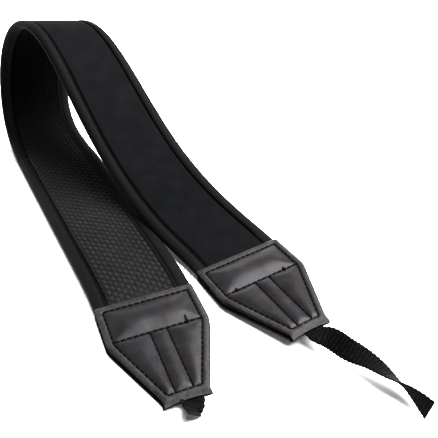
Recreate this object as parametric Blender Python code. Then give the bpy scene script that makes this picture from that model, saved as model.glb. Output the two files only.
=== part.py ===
"""Neck strap for a camera: a padded band folded over in a loop, a leather tab and a webbing end at each end.

Metres, +Z up. The strap lies on the plane z = 0, with the origin under the middle of its box.
The lower arm of the band runs from the left tab over the table, lining side up. Then the band
turns back over itself in a standing bend, and the upper arm comes down to the right tab.
"""

import math
from collections import namedtuple

import bmesh
import bpy
import numpy as np
from mathutils import Matrix, Vector

MM = 0.001

# Gap between two pieces that lie on each other.
GAP = 0.3
# Middle of the strap's box in the plane of the table. It is taken off every place in the tables.
BOX_MIDDLE = (-35.43, 0.01)

# ---------------------------------------------------------------------------------- band, in mm
BAND_WIDTH = 50.0
BAND_THICKNESS = 5.0
BINDING_WIDTH = 6.4
BINDING_WALL = 0.9
LINING_THICKNESS = 1.1
FLANGE_LINING = 0.8
BINDING_ROUND = 2.2
BINDING_CHAMFER = 0.5
# Width of the stitched groove between the binding and the face of the band, and of its slope.
GROOVE = 1.1
GROOVE_SLOPE = 0.7
# The band is pressed thin where it is sewn in: the share of its thickness that is left there.
PRESSED_AT_TAB = 0.64
PRESSED_AT_TIP = 0.56
# It stays thin this far past the tab's edge, and then thickens again over the second length.
PRESSED_PAST_TAB = 3.5
SWELL_LENGTH = 10.0
# Two sections lie no further apart than this, and the band turns no further between them.
LONGEST_STEP = 15.0
LARGEST_TURN = math.radians(8)

# Middle of the band, from its tip in the left tab to its tip in the right one. swing is the way
# that the width points, in degrees from +X, and tip is how far it points up, in degrees.
Station = namedtuple("Station", "x y z swing tip")
BAND = (
    Station(-33.9, -86.1, 2.75, 22.5, 0),
    Station(-38.5, -75.0, 3.0, 27, 0),
    Station(-61.0, -30.5, 2.5, 27, 3),
    Station(-89.5, 22.5, 2.5, 28, 1.5),
    Station(-113.0, 66.5, 2.5, 28, 1.5),
    Station(-127.0, 93.0, 4.5, 28, -5),
    Station(-136.5, 113.5, 14.0, 31, -12),
    Station(-139.5, 127.5, 34.0, 35, -15),
    Station(-135.0, 132.0, 58.0, 39, -15),
    Station(-122.5, 125.5, 78.0, 42, -13),
    Station(-105.5, 108.5, 82.5, 43, -10),
    Station(-88.0, 87.0, 71.0, 41, -6),
    Station(-68.7, 60.7, 48.2, 38.4, -1.2),
    Station(-46.2, 30.5, 24.3, 36.2, 1.8),
    Station(-17.1, -7.7, 8.9, 37, 3.3),
    Station(10.0, -43.0, 4.25, 37, 2.4),
    Station(16.1, -53.3, 4.63, 30.5, 2.7),
)
TONGUE_LENGTH = 12.0

# ---------------------------------------------------------------------------------- tabs, in mm
LEATHER = 1.0
# Height of the front leather's upper side over the tab's underside, at the band and at the webbing.
RIM_AT_BAND = 5.9
RIM_AT_WEBBING = 3.8
# Height of the band's middle over the tab's underside.
BAND_SEAT = 3.0
# The back leather stands out past the front one at the band, and ends short of it at the webbing.
BACK_PROUD = 0.4
BACK_SHORT = 1.4
POCKET_LENGTH = 13.0
WALL_RUN = 0.7

# Half of the outline: along runs from the band's edge to the webbing. The sides taper from the
# shoulder on.
SHOULDER_START = 25.5
TAPER_END = 62.0
OutlinePoint = namedtuple("OutlinePoint", "along half_width")
OUTLINE = (
    OutlinePoint(-0.7, 24.4),
    OutlinePoint(0.1, 25.3),
    OutlinePoint(1.8, 25.7),
    OutlinePoint(SHOULDER_START, 25.7),
    OutlinePoint(27.5, 25.3),
    OutlinePoint(29.5, 24.5),
    OutlinePoint(TAPER_END, 11.6),
    OutlinePoint(64.0, 10.9),
    OutlinePoint(67.6, 11.1),
)
# How far the middle of the webbing's edge is cut in.
END_HOLLOW = 1.2

# Lines of stitches on the front leather, and how high it swells between them.
TOP_STITCH = 4.0
CROSS_STITCH = 24.9
END_STITCH = 62.2
SIDE_INSET = 3.5
CHANNEL_STITCH = 4.2
SWELL_RUN = 4.5
RECTANGLE_SWELL = 1.1
CHANNEL_SWELL = 1.5
STITCH_SINK = 0.35
# Rows of points across the front leather, close together by the lines of stitches.
SWELL_ROWS = (
    TOP_STITCH, 5.5, 8.0, 14.0, 20.5, 23.0,
    CROSS_STITCH, 26.0, 33.0, 40.0, 47.0, 54.0, 58.0, 60.7, END_STITCH,
)

# Where each tab lies: heading is the way it points, in degrees from -Y, pitch is how far its
# webbing end is raised, and roll how far its right side is.
TabPose = namedtuple("TabPose", "name station heading pitch roll")
TABS = (
    TabPose("left", 1, 22.5, 0.0, 0.0),
    TabPose("right", -2, 30.5, 3.0, 2.7),
)

# ------------------------------------------------------------------------------- webbing, in mm
WEBBING_WIDTH = 11.0
WEBBING_THICKNESS = 1.2
WEBBING_BEVEL = 0.4
# Places along the tab that hold the webbing straight as far as its mouth.
WEBBING_HELD = {"left": (46.0, 60.0, 64.5, 67.6), "right": (46.0, 60.0, 64.5, 67.6, 69.6)}
WEBBING_SEAT = 1.9
# The webbing comes out a little to the right of the tab's middle, from a slot in the back leather.
WEBBING_ASIDE = 1.4
SLOT_START = 43.0
SLOT_HALF_WIDTH = 6.1
WEBBING_STEP = 2.5

# Each end past its tab, with the roll of the webbing about its own line in degrees.
Fold = namedtuple("Fold", "x y z roll")
WEBBING = {
    "left": (
        Fold(-11.6, -142.5, 4.7, -39),
        Fold(-9.8, -146.1, 4.8, -50),
    ),
    "right": (
        Fold(50.1, -104.2, 7.2, 18),
        Fold(58.6, -111.3, 6.9, 30),
        Fold(67.3, -118.3, 6.8, -1),
        Fold(74.8, -126.7, 6.5, -29),
        Fold(81.7, -135.5, 6.6, -72),
        Fold(87.4, -145.1, 6.3, -105),
    ),
}

# ------------------------------------------------------------------------------------ materials
Finish = namedtuple("Finish", "colour roughness")
FINISHES = {
    "neoprene": Finish((0.014, 0.015, 0.018), 0.75),
    "grip_lining": Finish((0.026, 0.026, 0.024), 0.8),
    "binding": Finish((0.012, 0.012, 0.013), 0.7),
    "tab_leather": Finish((0.065, 0.063, 0.064), 0.42),
    "webbing": Finish((0.008, 0.008, 0.008), 0.85),
}


def clear_scene():
    for obj in list(bpy.data.objects):
        bpy.data.objects.remove(obj, do_unlink=True)


def material(name):
    """The Principled material of one finish, made once and shared by the pieces that have it."""
    if name in bpy.data.materials:
        return bpy.data.materials[name]
    finish = FINISHES[name]
    made = bpy.data.materials.new(name)
    made.use_nodes = True
    shader = made.node_tree.nodes["Principled BSDF"]
    shader.inputs["Base Color"].default_value = (*finish.colour, 1)
    shader.inputs["Roughness"].default_value = finish.roughness
    shader.inputs["Metallic"].default_value = 0
    return made


def add_object(name, shape, finish):
    """A new object from a bmesh whose lengths are in mm."""
    bmesh.ops.recalc_face_normals(shape, faces=shape.faces)
    bmesh.ops.scale(shape, vec=(MM, MM, MM), verts=shape.verts)
    mesh = bpy.data.meshes.new(name)
    shape.to_mesh(mesh)
    shape.free()
    mesh.materials.append(material(finish))
    mesh.shade_smooth()
    mesh.set_sharp_from_angle(angle=math.radians(40))
    made = bpy.data.objects.new(name, mesh)
    bpy.context.scene.collection.objects.link(made)
    return made


# --------------------------------------------------------------------------- lines through rows
def natural_spline(knots, rows, at):
    """Rows read off at the places `at` from the natural cubic curve through (knots, rows)."""
    count = len(knots)
    gaps = np.diff(knots)[:, None]
    slopes = np.diff(rows, axis=0) / gaps
    system = np.eye(count)
    wanted = np.zeros_like(rows)
    for i in range(1, count - 1):
        system[i, i - 1 : i + 2] = gaps[i - 1, 0], 2 * (gaps[i - 1, 0] + gaps[i, 0]), gaps[i, 0]
        wanted[i] = 6 * (slopes[i] - slopes[i - 1])
    bends = np.linalg.solve(system, wanted)
    i = np.clip(np.searchsorted(knots, at, side="right") - 1, 0, count - 2)
    gap = gaps[i]
    before = (at - knots[i])[:, None]
    after = gap - before
    curved = (bends[i] * after**3 + bends[i + 1] * before**3) / (6 * gap)
    left = (rows[i] / gap - bends[i] * gap / 6) * after
    right = (rows[i + 1] / gap - bends[i + 1] * gap / 6) * before
    return curved + left + right


def chord_lengths(points):
    """Length along the straight lines from point to point, starting at 0."""
    return np.concatenate([[0.0], np.cumsum(np.linalg.norm(np.diff(points, axis=0), axis=1))])


def unit(vectors):
    return vectors / np.linalg.norm(vectors, axis=-1, keepdims=True)


def table_place(x, y, z):
    """A place of the tables, moved so that the origin lies under the middle of the strap."""
    return (x - BOX_MIDDLE[0], y - BOX_MIDDLE[1], z)


class Line:
    """Sections along a strip: its middle, the way its width points and the way its face looks."""

    def __init__(self, middle, across, length):
        self.middle = middle
        self.length = length
        along = unit(np.gradient(middle, length, axis=0))
        self.across = unit(across - (across * along).sum(axis=1)[:, None] * along)
        self.face = np.cross(self.across, along)
        self.along = along

    def only(self, keep):
        """The same strip with the sections listed in keep."""
        return Line(self.middle[keep], self.across[keep], self.length[keep])


def band_line():
    """The band's line, with sections close together in the bend and far apart on straight runs."""
    rows = np.array([(*table_place(s.x, s.y, s.z), s.swing, s.tip) for s in BAND])
    knots = chord_lengths(rows[:, :3])
    at = np.linspace(0, knots[-1], 561)
    fine = natural_spline(knots, rows, at)
    swing, tip = np.radians(fine[:, 3]), np.radians(fine[:, 4])
    # It lies on the table and never dips into it.
    resting = BAND_THICKNESS / 2 * pressed(at) + BAND_WIDTH / 2 * np.abs(np.sin(tip))
    fine[:, 2] = np.maximum(fine[:, 2], resting)
    flat = np.cos(tip)
    across = np.stack([np.cos(swing) * flat, np.sin(swing) * flat, np.sin(tip)], axis=1)
    line = Line(fine[:, :3], across, chord_lengths(fine[:, :3]))
    keep = [0]
    thin_end = TONGUE_LENGTH + PRESSED_PAST_TAB
    edges = (thin_end, line.length[-1] - thin_end)
    for i in range(1, len(at) - 1):
        step = line.length[i] - line.length[keep[-1]]
        turn = math.acos(min(1.0, float(line.along[i] @ line.along[keep[-1]])))
        at_edge = min(abs(line.length[i] - edge) for edge in edges) < SWELL_LENGTH
        if turn > LARGEST_TURN or step > (SWELL_LENGTH / 3 if at_edge else LONGEST_STEP):
            keep.append(i)
    if line.length[-1] - line.length[keep[-1]] < 1:
        keep.pop()
    keep.append(len(at) - 1)
    return line.only(keep)


def pressed(lengths):
    """The share of its thickness that the band has at each of these lengths from its left tip."""
    from_end = np.minimum(lengths, lengths[-1] - lengths)
    thin_end = TONGUE_LENGTH + PRESSED_PAST_TAB
    stops = (0.0, thin_end, thin_end + SWELL_LENGTH)
    return np.interp(from_end, stops, (PRESSED_AT_TIP, PRESSED_AT_TAB, 1.0))


# ---------------------------------------------------------------------------------- band pieces
def sweep(name, line, section, share, finish):
    """A closed strip: the section's (across, up) points carried along the line.

    share scales the section's height from place to place.
    """
    shape = bmesh.new()
    rings = []
    for middle, across, face, scale in zip(line.middle, line.across, line.face, share):
        places = (middle + across * v + face * (w * scale) for v, w in section)
        rings.append([shape.verts.new(place) for place in places])
    count = len(section)
    for ring, following in zip(rings, rings[1:]):
        for i in range(count):
            j = (i + 1) % count
            shape.faces.new((ring[i], ring[j], following[j], following[i]))
    shape.faces.new(rings[0])
    shape.faces.new(rings[-1])
    return add_object(name, shape, finish)


def mirrored(half):
    """A whole section from the points of its right half, which run from the top down."""
    return [*half, *((-v, w) for v, w in reversed(half))]


def band_sections():
    """Sections of the core, the lining and the binding, as (across, up) points in mm.

    Up is the lining side. Core and lining thin to a flange at each side, which the binding
    wraps, so that the binding lies level with the faces and a groove is left between them.
    """
    top = BAND_THICKNESS / 2
    cavity = top - BINDING_WALL
    flange = cavity - GAP
    edge = BAND_WIDTH / 2
    flange_edge = edge - BINDING_WALL - 2 * GAP
    binding_edge = edge - BINDING_WIDTH
    face = binding_edge - GROOVE
    slope = GROOVE_SLOPE
    lining_under = top - LINING_THICKNESS
    flange_under = flange - FLANGE_LINING
    inner = face - slope
    core = mirrored(
        (
            (inner - slope, lining_under - GAP),
            (inner + slope / 2, flange_under - GAP),
            (flange_edge, flange_under - GAP),
            (flange_edge, -flange),
            (face + slope, -flange),
            (face, -top),
        )
    )
    lining = mirrored(
        (
            (face, top),
            (face + slope, flange),
            (flange_edge, flange),
            (flange_edge, flange_under),
            (inner + slope, flange_under),
            (inner - slope / 2, lining_under),
        )
    )
    round_centre = edge - BINDING_ROUND
    binding = [(binding_edge, top), (round_centre, top)]
    binding += [
        (round_centre + BINDING_ROUND * math.cos(angle), top * math.sin(angle))
        for angle in (math.radians(45), 0, math.radians(-45))
    ]
    binding += [(round_centre, -top), (binding_edge, -top)]
    chamfer = BINDING_CHAMFER
    for side in (-1, 1):
        corner = [
            (binding_edge, side * cavity),
            (flange_edge + GAP / 2, side * cavity),
            (flange_edge + GAP / 2 + chamfer, side * (cavity - chamfer)),
        ]
        binding += corner if side < 0 else corner[::-1]
    return core, lining, binding


def build_band():
    line = band_line()
    share = pressed(line.length)
    core, lining, binding = band_sections()
    sweep("neoprene_core", line, core, share, "neoprene")
    sweep("grip_lining", line, lining, share, "grip_lining")
    sweep("right_edge_binding", line, binding, share, "binding")
    sweep("left_edge_binding", line, [(-v, w) for v, w in binding], share, "binding")


# ----------------------------------------------------------------------------------------- tabs
def tab_matrix(pose):
    """Place of a tab: +X to its right side, -Y towards its webbing, +Z up from its underside."""
    station = BAND[pose.station]
    turn = (
        Matrix.Rotation(math.radians(pose.heading), 4, "Z")
        @ Matrix.Rotation(math.radians(-pose.pitch), 4, "X")
        @ Matrix.Rotation(math.radians(-pose.roll), 4, "Y")
    )
    seat = Vector(table_place(station.x, station.y, station.z)) - turn.col[2].xyz * BAND_SEAT
    return Matrix.Translation(seat) @ turn


def half_width(along):
    return float(np.interp(along, *zip(*OUTLINE)))


def rim_height(along):
    """Height of the front leather's upper side at its rim."""
    share = along / OUTLINE[-1].along
    return RIM_AT_BAND + (RIM_AT_WEBBING - RIM_AT_BAND) * share


def swell(distance):
    """0 at a line of stitches, 1 from SWELL_RUN away, rounded like a stuffed seam."""
    share = min(max(distance / SWELL_RUN, 0.0), 1.0)
    return math.sqrt(1 - (1 - share) ** 2)


def padding(along, across):
    """How far the front leather stands over its rim.

    There is one stuffed rectangle above the cross line, and three stuffed channels below it.
    """
    to_side = half_width(along) - SIDE_INSET - abs(across)
    if to_side <= 0 or not TOP_STITCH < along < END_STITCH:
        return 0.0
    if along < CROSS_STITCH:
        return RECTANGLE_SWELL * swell(min(to_side, along - TOP_STITCH, CROSS_STITCH - along))
    to_channel = abs(abs(across) - CHANNEL_STITCH)
    return CHANNEL_SWELL * swell(min(to_side, to_channel, along - CROSS_STITCH, END_STITCH - along))


def on_stitch(along, across):
    """Whether a place lies on one of the stitched lines."""
    near = 0.01
    to_side = half_width(along) - SIDE_INSET - abs(across)
    inside = TOP_STITCH - near < along < END_STITCH + near and to_side > -near
    on_channel = along > CROSS_STITCH and abs(abs(across) - CHANNEL_STITCH) < near
    on_row = min(abs(along - row) for row in (TOP_STITCH, CROSS_STITCH, END_STITCH)) < near
    return inside and (to_side < near or on_channel or on_row)


def front_top(along, across):
    sink = STITCH_SINK if on_stitch(along, across) else 0.0
    return rim_height(along) + padding(along, across) - sink


def front_under(along, across):
    return rim_height(along) - LEATHER


def back_top(along, across):
    """The back leather fills up to the front one, but for the band's pocket and the webbing's slot."""
    filled = rim_height(along) - LEATHER - GAP
    in_pocket = along < POCKET_LENGTH
    in_slot = along > SLOT_START and abs(across - WEBBING_ASIDE) < SLOT_HALF_WIDTH + WALL_RUN / 2
    return LEATHER if in_pocket or in_slot else filled


def panel(name, rows, columns, top, under, proud, short):
    """A leather piece over the tab's outline, as a grid of rows and columns with two height functions.

    proud is how far it stands out past the outline at the band, and short is how far it ends
    before the webbing's edge.
    """
    shape = bmesh.new()
    layers = []
    last = OUTLINE[-1].along
    stretch = (last + proud - short) / last
    for height in (top, under):
        grid = []
        for along in rows:
            half = half_width(along)
            widen = 1 + proud * (1 - along / last) / half
            line = []
            for across in columns(along):
                hollow = END_HOLLOW * (along / last) ** 8 * math.cos(across / half * math.pi / 2)
                place = (across * widen, proud - stretch * along + hollow)
                line.append(shape.verts.new((*place, height(along, across))))
            grid.append(line)
        layers.append(grid)
    upper, lower = layers
    for grid in layers:
        for near, far in zip(grid, grid[1:]):
            for i in range(len(near) - 1):
                shape.faces.new((near[i], near[i + 1], far[i + 1], far[i]))
    rim_upper = rim_of(upper)
    rim_lower = rim_of(lower)
    for i, vertex in enumerate(rim_upper):
        shape.faces.new((rim_upper[i - 1], vertex, rim_lower[i], rim_lower[i - 1]))
    return add_object(name, shape, "tab_leather")


def rim_of(grid):
    """The outer vertices of a grid, in order round it."""
    right = [row[-1] for row in grid[1:-1]]
    left = [row[0] for row in grid[1:-1]]
    return [*grid[0], *right, *reversed(grid[-1]), *reversed(left)]


def back_under(along, across):
    return 0.0


def front_columns(along):
    """Columns on the side stitches, the channel stitches and three places between."""
    side = half_width(along) - SIDE_INSET
    shares = (0.2, 0.5, 0.8)
    between = [CHANNEL_STITCH + (side - CHANNEL_STITCH) * share for share in shares]
    right = [CHANNEL_STITCH / 2, CHANNEL_STITCH, *between, side, half_width(along)]
    return [-v for v in reversed(right)] + [0.0] + right


def back_columns(along):
    """Columns on both sides of the slot's walls."""
    wall = SLOT_HALF_WIDTH + WALL_RUN
    slot = [WEBBING_ASIDE + v for v in (-wall, -SLOT_HALF_WIDTH, 0.0, SLOT_HALF_WIDTH, wall)]
    return [-half_width(along), *slot, half_width(along)]


def build_tab(pose):
    place = bpy.data.objects.new(f"{pose.name}_tab_place", None)
    bpy.context.scene.collection.objects.link(place)
    matrix = tab_matrix(pose)
    place.rotation_mode = "YXZ"
    place.matrix_world = Matrix.Translation(matrix.translation * MM) @ matrix.to_3x3().to_4x4()
    edge_rows = [point.along for point in OUTLINE]
    front_rows = sorted({*edge_rows, *SWELL_ROWS} - {SHOULDER_START, TAPER_END})
    front = panel(f"{pose.name}_tab_front", front_rows, front_columns, front_top, front_under, 0, 0)
    walls = [POCKET_LENGTH - 0.01, POCKET_LENGTH + WALL_RUN, SLOT_START, SLOT_START + WALL_RUN]
    back_rows = sorted({*edge_rows, *walls})
    back = panel(
        f"{pose.name}_tab_back", back_rows, back_columns, back_top, back_under, BACK_PROUD, BACK_SHORT
    )
    front.parent = place
    back.parent = place


# -------------------------------------------------------------------------------------- webbing
def build_webbing(pose):
    """A flat webbing end that comes out between the tab's leathers and turns about its own line."""
    matrix = tab_matrix(pose)
    inside = WEBBING_HELD[pose.name]
    held = [matrix @ Vector((WEBBING_ASIDE, -along, WEBBING_SEAT)) for along in inside]
    rows = [(*place, pose.roll) for place in held]
    rows += [(*table_place(fold.x, fold.y, fold.z), fold.roll) for fold in WEBBING[pose.name]]
    rows = np.array(rows)
    knots = chord_lengths(rows[:, :3])
    at = np.linspace(0, knots[-1], round(knots[-1] / WEBBING_STEP) + 1)
    fine = natural_spline(knots, rows, at)
    along = unit(np.gradient(fine[:, :3], at, axis=0))
    level = unit(np.cross((0.0, 0.0, 1.0), along))
    upright = np.cross(along, level)
    roll = np.radians(fine[:, 3])[:, None]
    line = Line(fine[:, :3], level * np.cos(roll) + upright * np.sin(roll), at)
    side = WEBBING_WIDTH / 2
    half = WEBBING_THICKNESS / 2
    bevel = WEBBING_BEVEL
    section = mirrored(
        (
            (side - bevel, half),
            (side, half - bevel),
            (side, bevel - half),
            (side - bevel, -half),
        )
    )
    sweep(f"{pose.name}_webbing", line, section, np.ones(len(at)), "webbing")


def main():
    clear_scene()
    build_band()
    for pose in TABS:
        build_tab(pose)
        build_webbing(pose)


main()
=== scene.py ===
# %% [markdown]
# # A padded camera strap
# A camera strap is a long padded band with a leather tab and a short webbing end at each end of it.
# Here it lies on a table with the band turned back over itself, so both its faces are seen.
# The solids of the strap are loaded first and stay where they are. Each of them then gets a
# detailed piece that stands for it, and a finish for each material. Lengths are in metres, apart
# from those in the tables and those of the tabs, which are in millimetres.

# %% Loading the solids
import math
from collections import namedtuple

import bpy
import numpy as np
from mathutils import Matrix, Vector


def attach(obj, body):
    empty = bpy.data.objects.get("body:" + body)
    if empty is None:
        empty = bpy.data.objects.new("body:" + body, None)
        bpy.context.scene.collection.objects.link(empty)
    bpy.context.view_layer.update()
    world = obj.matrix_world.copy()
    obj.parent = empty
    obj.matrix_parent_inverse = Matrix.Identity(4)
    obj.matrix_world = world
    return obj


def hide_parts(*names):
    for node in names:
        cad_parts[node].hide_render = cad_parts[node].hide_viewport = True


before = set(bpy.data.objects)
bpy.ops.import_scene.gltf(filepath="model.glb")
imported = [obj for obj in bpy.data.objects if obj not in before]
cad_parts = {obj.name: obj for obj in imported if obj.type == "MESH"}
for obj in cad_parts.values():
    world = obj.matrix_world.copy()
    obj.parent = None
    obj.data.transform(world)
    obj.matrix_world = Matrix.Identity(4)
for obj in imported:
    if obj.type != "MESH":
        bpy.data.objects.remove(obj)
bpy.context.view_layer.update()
MM = 0.001
print("solids:", ", ".join(sorted(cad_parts)))

# %% [markdown]
# ## Camera, table and light
# The strap is looked at from the front and from well above, as a buyer sees it on a shop page.
# The table is one wide pale plane, so no edge of it is in the picture. A large soft lamp high on
# the right gives the gleams on the leather, and a long low one behind gives the grey gleam on top
# of the bend. A small weak one on the left gives the outer side of the bend a faint rim. The
# last lamp lights the table alone, as a photographer keeps the background lamp off the goods, so
# the white stays white beside black cloth. The air of the room adds next to nothing, so the
# inside of the bend stays dark. Small lamps near the strap would give hard shadows.

# %% The camera
CAMERA_PLACE = (0.03543, -0.30089, 0.21620)
CAMERA_TILT = math.radians(54.3)
bpy.ops.object.camera_add(location=CAMERA_PLACE, rotation=(CAMERA_TILT, 0, 0))
camera = bpy.context.object
camera.data.sensor_width = 36
camera.data.lens = 49.364
camera.data.clip_start = 0.01
bpy.context.scene.camera = camera
bpy.context.scene.view_settings.view_transform = "Standard"
bpy.context.scene.view_settings.gamma = 0.7
print("camera", round(camera.location.length, 3), "m from the middle of the strap")


# %% The lamps and the light of the room
def add_softbox(name, place, target, width, height, power):
    """A rectangular soft lamp at this place that looks at the target."""
    bpy.ops.object.light_add(type="AREA", location=place)
    lamp = bpy.context.object
    lamp.name = name
    lamp.data.shape = "RECTANGLE"
    lamp.data.size, lamp.data.size_y = width, height
    lamp.data.energy = power
    lamp.rotation_euler = (Vector(target) - Vector(place)).to_track_quat("-Z", "Y").to_euler()
    return lamp


STRAP = (0, 0.05, 0)
TOP_OF_BEND = (0, 0.1, 0.05)
LEFT_OF_BEND = (-0.1, 0.1, 0.04)
add_softbox("key_softbox", (0.59, 0.18, 0.96), STRAP, 1.1, 1.1, 49)
add_softbox("far_softbox", (-0.2, 1.3, 0.45), TOP_OF_BEND, 1.4, 0.4, 7)
add_softbox("left_softbox", (-0.9, 0.8, 0.35), LEFT_OF_BEND, 0.4, 0.4, 7)
table_softbox = add_softbox("table_softbox", (0.48, 0.48, 1.0), STRAP, 1.9, 1.9, 140)
table_alone = bpy.data.collections.new("table_alone")
table_softbox.light_linking.receiver_collection = table_alone

room = bpy.data.worlds.new("room")
bpy.context.scene.world = room
room.use_nodes = True
air = room.node_tree.nodes["Background"]
air.inputs["Color"].default_value = (1.0, 0.995, 0.99, 1)
air.inputs["Strength"].default_value = 0.05


# %% [markdown]
# ## Working with Blender's own tools
# Every piece starts as one of Blender's primitives and is shaped in edit mode, as by hand.
# Blender's tools act on whatever is selected. So one helper adds a primitive with nothing else
# selected, and another picks the points or faces that the next tool is meant for.


# %% Adding a primitive, picking a part of it, and moving its points
def add_primitive(kind, name, sides, place=(0, 0, 0), turn=(0, 0, 0), **detail):
    """A primitive at this place, stretched to these sides, with both kept in its mesh."""
    if bpy.context.mode != "OBJECT":
        bpy.ops.object.mode_set(mode="OBJECT")
    bpy.ops.object.select_all(action="DESELECT")
    getattr(bpy.ops.mesh, f"primitive_{kind}_add")(location=place, rotation=turn, **detail)
    piece = bpy.context.object
    piece.name = piece.data.name = name
    piece.scale = sides
    bpy.ops.object.transform_apply(location=True, rotation=True, scale=True)
    return piece


def activate(piece):
    """Leaves edit mode, and makes this the one piece that is selected."""
    if bpy.context.mode != "OBJECT":
        bpy.ops.object.mode_set(mode="OBJECT")
    bpy.ops.object.select_all(action="DESELECT")
    bpy.context.view_layer.objects.active = piece
    piece.select_set(True)


def places_of(piece):
    """The places of the piece's points, one row each."""
    flat = np.empty(len(piece.data.vertices) * 3, np.float32)
    piece.data.vertices.foreach_get("co", flat)
    return flat.reshape(-1, 3).astype(float)


def set_places(piece, places):
    piece.data.vertices.foreach_set("co", np.asarray(places, np.float32).ravel())
    piece.data.update()


def pick(piece, kind, wanted):
    """Opens the piece in edit mode with only these points, edges or faces selected.

    wanted gets the place of each, and for edges and faces also its direction.
    """
    activate(piece)
    mesh = piece.data
    places = places_of(piece)
    for part in (mesh.vertices, mesh.edges, mesh.polygons):
        part.foreach_set("select", np.zeros(len(part), bool))
    if kind == "VERT":
        mesh.vertices.foreach_set("select", np.asarray(wanted(places), bool))
    elif kind == "EDGE":
        ends = np.empty(len(mesh.edges) * 2, np.int32)
        mesh.edges.foreach_get("vertices", ends)
        start, end = places[ends[::2]], places[ends[1::2]]
        way = (end - start) / np.linalg.norm(end - start, axis=1, keepdims=True)
        mesh.edges.foreach_set("select", np.asarray(wanted((start + end) / 2, way), bool))
    else:
        centres = np.array([face.center for face in mesh.polygons])
        normals = np.array([face.normal for face in mesh.polygons])
        mesh.polygons.foreach_set("select", np.asarray(wanted(centres, normals), bool))
    bpy.context.tool_settings.mesh_select_mode = [kind == each for each in ("VERT", "EDGE", "FACE")]
    bpy.ops.object.mode_set(mode="EDIT")


def pick_all(piece):
    pick(piece, "VERT", lambda places: np.ones(len(places), bool))


SAME_PLACE = 1e-6


def face_outwards(piece):
    """Merges points that lie on each other, and turns all faces outwards."""
    pick_all(piece)
    bpy.ops.mesh.remove_doubles(threshold=SAME_PLACE)
    bpy.ops.mesh.normals_make_consistent(inside=False)
    bpy.ops.object.mode_set(mode="OBJECT")


def apply_modifier(piece, kind, **settings):
    """Adds a modifier with these settings and applies it."""
    activate(piece)
    modifier = piece.modifiers.new(kind.lower(), kind)
    for setting, value in settings.items():
        setattr(modifier, setting, value)
    bpy.ops.object.modifier_apply(modifier=modifier.name)


def repeat(piece, count, step, **merging):
    """Makes a row of this many copies, each of them this step further."""
    apply_modifier(
        piece, "ARRAY", count=count, use_relative_offset=False, use_constant_offset=True,
        constant_offset_displace=step, **merging,
    )


def join(pieces, name):
    """Makes one piece of several."""
    activate(pieces[0])
    for piece in pieces:
        piece.select_set(True)
    bpy.ops.object.join()
    pieces[0].name = pieces[0].data.name = name
    return pieces[0]


def keep_as(piece, name, values):
    """Keeps a value, or a place, of each point in the mesh, for the finishes to read."""
    values = np.asarray(values, np.float32)
    kind, field = ("FLOAT", "value") if values.ndim == 1 else ("FLOAT_VECTOR", "vector")
    kept = piece.data.attributes.new(name, kind, "POINT")
    kept.data.foreach_set(field, values.ravel())


# %% [markdown]
# ## The line of the band
# The band is far easier to make straight and flat, like the real one on a cutting table, than in
# its bend. So each strip is made flat, with x across the band, y along it and z up from its
# middle, and is then laid on a curve in space. The curve goes through a short table of stations.
# Each gives a place, the way that the band's width points there, and how far it tips.


# %% The stations, and a smooth curve through them
Station = namedtuple("Station", "x y z swing tip")
BOX_MIDDLE = (-35.43, 0.01)
BAND = (
    Station(-33.9, -86.1, 2.75, 22.5, 0),
    Station(-38.5, -75.0, 3.0, 27, 0),
    Station(-61.0, -30.5, 2.5, 27, 3),
    Station(-89.5, 22.5, 2.5, 28, 1.5),
    Station(-113.0, 66.5, 2.5, 28, 1.5),
    Station(-127.0, 93.0, 4.5, 28, -5),
    Station(-136.5, 113.5, 14.0, 31, -12),
    Station(-139.5, 127.5, 34.0, 35, -15),
    Station(-135.0, 132.0, 58.0, 39, -15),
    Station(-122.5, 125.5, 78.0, 42, -13),
    Station(-105.5, 108.5, 82.5, 43, -10),
    Station(-88.0, 87.0, 71.0, 41, -6),
    Station(-68.7, 60.7, 48.2, 38.4, -1.2),
    Station(-46.2, 30.5, 24.3, 36.2, 1.8),
    Station(-17.1, -7.7, 8.9, 37, 3.3),
    Station(10.0, -43.0, 4.25, 37, 2.4),
    Station(16.1, -53.3, 4.63, 30.5, 2.7),
)
BAND_WIDTH = 50 * MM
BAND_THICKNESS = 5 * MM


def natural_spline(knots, rows, at):
    """Rows read off at the places `at` from the natural cubic curve through (knots, rows)."""
    count = len(knots)
    gaps = np.diff(knots)[:, None]
    slopes = np.diff(rows, axis=0) / gaps
    system = np.eye(count)
    wanted = np.zeros_like(rows)
    for i in range(1, count - 1):
        system[i, i - 1 : i + 2] = gaps[i - 1, 0], 2 * (gaps[i - 1, 0] + gaps[i, 0]), gaps[i, 0]
        wanted[i] = 6 * (slopes[i] - slopes[i - 1])
    bends = np.linalg.solve(system, wanted)
    i = np.clip(np.searchsorted(knots, at, side="right") - 1, 0, count - 2)
    gap = gaps[i]
    before = (at - knots[i])[:, None]
    after = gap - before
    curved = (bends[i] * after**3 + bends[i + 1] * before**3) / (6 * gap)
    left = (rows[i] / gap - bends[i] * gap / 6) * after
    right = (rows[i + 1] / gap - bends[i + 1] * gap / 6) * before
    return curved + left + right


def chord_lengths(places):
    return np.concatenate([[0.0], np.cumsum(np.linalg.norm(np.diff(places, axis=0), axis=1))])


def unit(vectors):
    return vectors / np.linalg.norm(vectors, axis=-1, keepdims=True)


def table_place(x, y, z):
    """A place of the tables, moved so that the origin lies under the middle of the strap."""
    return (x - BOX_MIDDLE[0], y - BOX_MIDDLE[1], z)


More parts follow.
